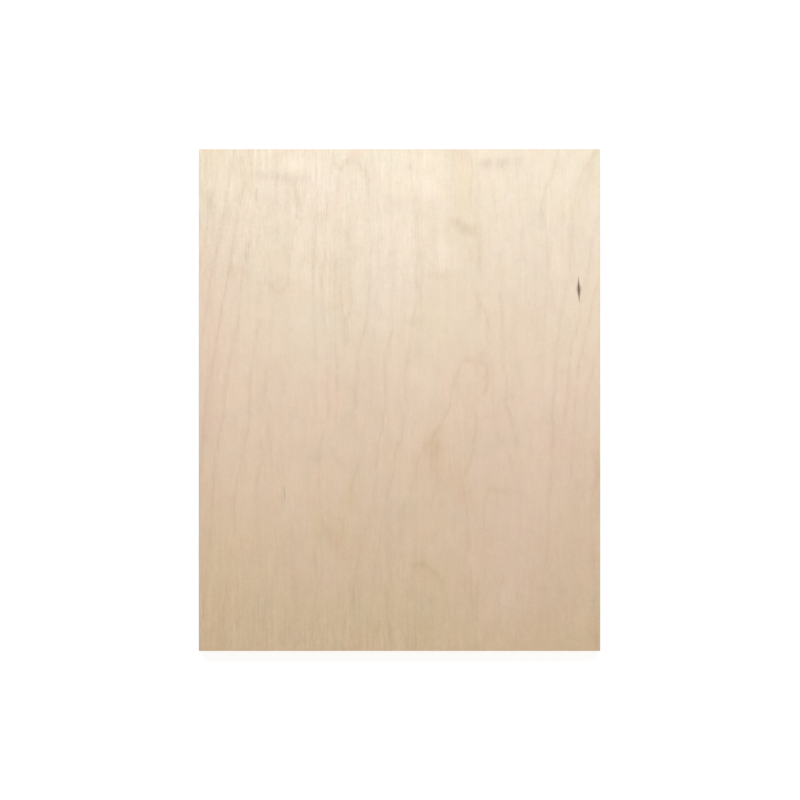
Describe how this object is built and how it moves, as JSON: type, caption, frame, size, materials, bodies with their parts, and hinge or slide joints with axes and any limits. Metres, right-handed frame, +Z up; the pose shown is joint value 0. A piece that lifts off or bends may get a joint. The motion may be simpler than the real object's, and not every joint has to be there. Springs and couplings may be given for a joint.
{
  "type": "plywood sheet",
  "caption": "Flat rectangular panel of sanded, unfinished birch plywood, cut square, with its veneers and glue lines showing on the sawn edges.",
  "frame": {"origin": "centre of the underside, which is the face that the panel lies on", "axes": "+X across the grain of the face veneers, +Y along the grain and the longer side, +Z up through the thickness, out of the better face"},
  "size_m": [0.6096, 0.762, 0.018],
  "materials": {
    "birch_plywood": "sanded smooth, bare, with no stain or lacquer"
  },
  "bodies": {
    "root": {"plywood_sheet": "birch_plywood"}
  },
  "joints": []
}
